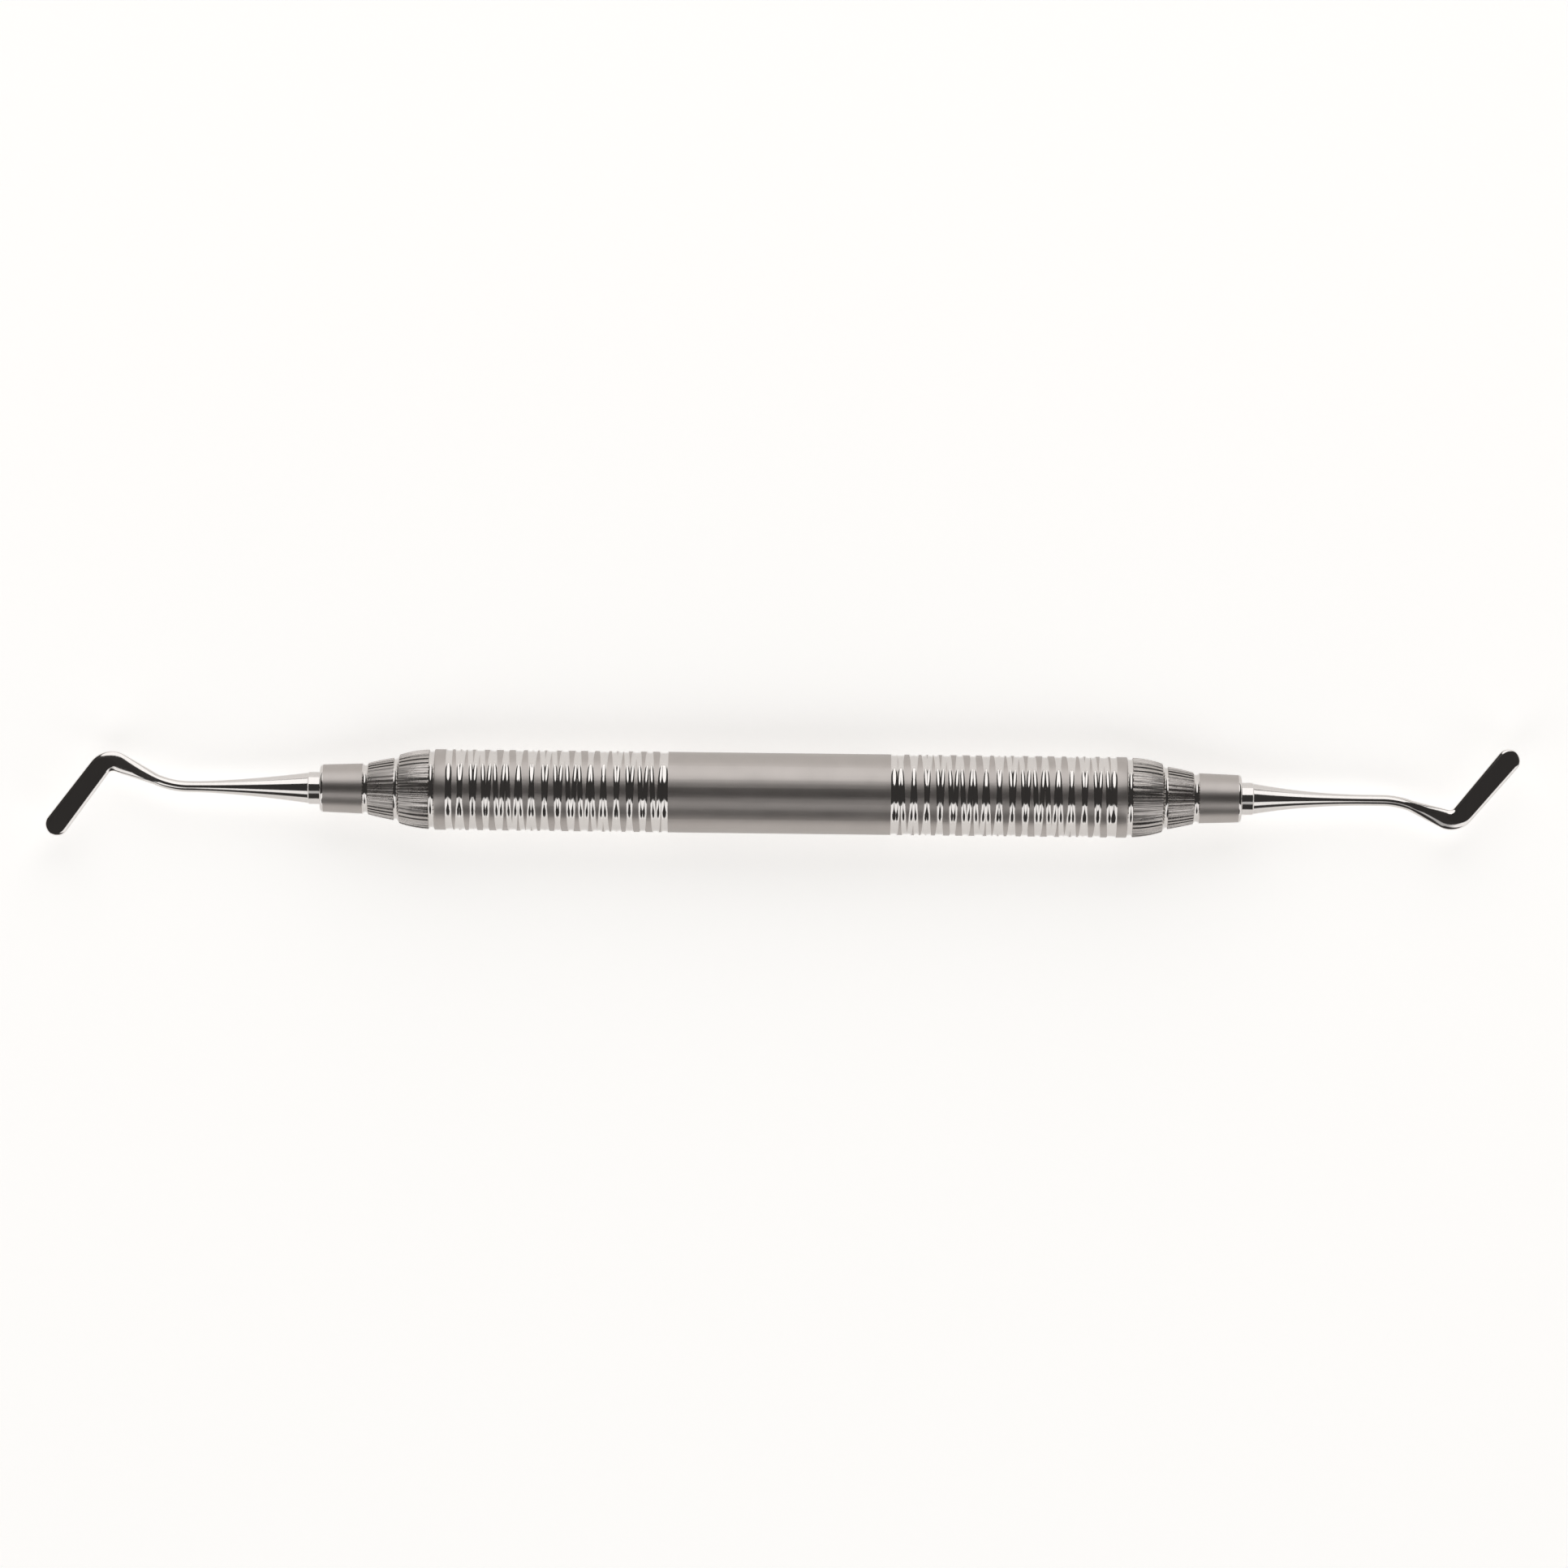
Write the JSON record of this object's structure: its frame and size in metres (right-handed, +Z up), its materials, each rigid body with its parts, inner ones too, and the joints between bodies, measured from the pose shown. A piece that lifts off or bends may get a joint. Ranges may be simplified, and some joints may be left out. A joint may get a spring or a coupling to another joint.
{
  "type": "plastic filling instrument",
  "caption": "Double-ended dental filling instrument: hollow satin steel handle with cross-grooved grips, knurled end cones and a polished, elbowed flat spatula at each end.",
  "frame": {"origin": "under the middle of the instrument, on the surface that its handle lies on", "axes": "+X along the handle towards the right spatula, +Y across it in the plane of both blades, +Z up, square to the blades"},
  "size_m": [0.1754, 0.0122, 0.0095],
  "materials": {
    "satin_steel": "bead-blasted satin stainless steel",
    "polished_steel": "mirror-polished stainless steel"
  },
  "bodies": {
    "root": {"handle_tube": "satin_steel", "end_cone_left": "satin_steel", "end_cone_right": "satin_steel", "spatula_left": "polished_steel", "spatula_right": "polished_steel"}
  },
  "joints": []
}
